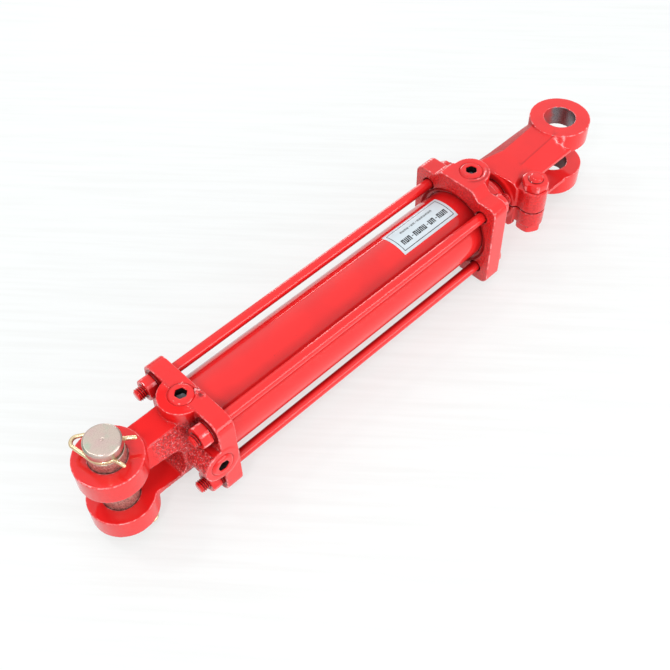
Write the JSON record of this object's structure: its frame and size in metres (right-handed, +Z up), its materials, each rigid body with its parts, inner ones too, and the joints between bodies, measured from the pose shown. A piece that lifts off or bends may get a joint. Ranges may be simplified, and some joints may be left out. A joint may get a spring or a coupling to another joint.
{
  "type": "hydraulic cylinder",
  "caption": "Tie-rod hydraulic cylinder with clevis ends: square end castings, round barrel, plugged oil ports, a clamped rod clevis and a pin held by wire clips.",
  "frame": {"origin": "centre of the base clevis pin hole, half way between the two ears", "axes": "+X along the cylinder from the base clevis to the rod clevis; +Z up along the clevis pin, towards the port plugs; +Y to the left"},
  "size_m": [0.5124, 0.0817, 0.095],
  "materials": {
    "red_paint": "gloss red paint over machined steel",
    "red_cast": "gloss red paint over rough iron castings",
    "chrome": "polished hard chrome",
    "zinc_pin": "yellow zinc plated steel",
    "zinc_wire": "yellow zinc plated spring wire",
    "bare_steel": "machined",
    "piston_iron": "machined",
    "bronze": "machined",
    "black_rubber": "moulded",
    "seal_plastic": "moulded polyurethane",
    "guide_plastic": "PTFE and nylon",
    "label_paper": "printed film"
  },
  "bodies": {
    "barrel": {"base_cap": "red_cast", "tube": "red_paint", "head": "red_cast", "tie_rod_upper_left": "red_paint", "tie_rod_upper_right": "red_paint", "tie_rod_lower_left": "red_paint", "tie_rod_lower_right": "red_paint", "base_tie_rod_nuts": "red_paint", "head_tie_rod_nuts": "red_paint", "base_top_port_plug": "red_paint", "base_side_port_plug": "red_paint", "head_port_plug": "red_paint", "base_lock_washers": "red_paint", "base_tube_o_ring": "black_rubber", "base_tube_backup_ring": "guide_plastic", "head_tube_o_ring": "black_rubber", "head_tube_backup_ring": "guide_plastic", "rod_bushing": "bronze", "rod_seal": "seal_plastic", "rod_wiper": "seal_plastic", "label": "label_paper"},
    "piston_rings": {"piston_seal": "seal_plastic", "piston_wear_ring": "guide_plastic"},
    "rod": {"piston_rod": "chrome", "piston": "piston_iron", "piston_o_ring": "black_rubber", "piston_nut": "bare_steel", "rod_clevis": "red_cast", "clamp_bolt": "red_paint", "clamp_nut": "red_paint"},
    "upper_clip": {"upper_pin_clip": "zinc_wire"},
    "pin": {"base_pin": "zinc_pin"},
    "lower_clip": {"lower_pin_clip": "zinc_wire"}
  },
  "joints": [
    {"name": "rod_extend", "type": "slide", "parent": "barrel", "child": "piston_rings", "axis": [1, 0, 0], "range_m": [0, 0.2032]},
    {"name": "rod_turn", "type": "hinge", "parent": "piston_rings", "child": "rod", "pos_m": [0.2, 0, 0], "axis": [1, 0, 0], "continuous": true},
    {"name": "pin_float", "type": "slide", "parent": "barrel", "child": "upper_clip", "axis": [0, 0, 1], "range_m": [-0.0095, 0.002]},
    {"name": "pin_turn", "type": "hinge", "parent": "upper_clip", "child": "pin", "pos_m": [0, 0, 0], "axis": [0, 0, 1], "continuous": true},
    {"name": "lower_clip_turn", "type": "hinge", "parent": "pin", "child": "lower_clip", "pos_m": [0, 0, 0], "axis": [0, 0, 1], "continuous": true}
  ]
}
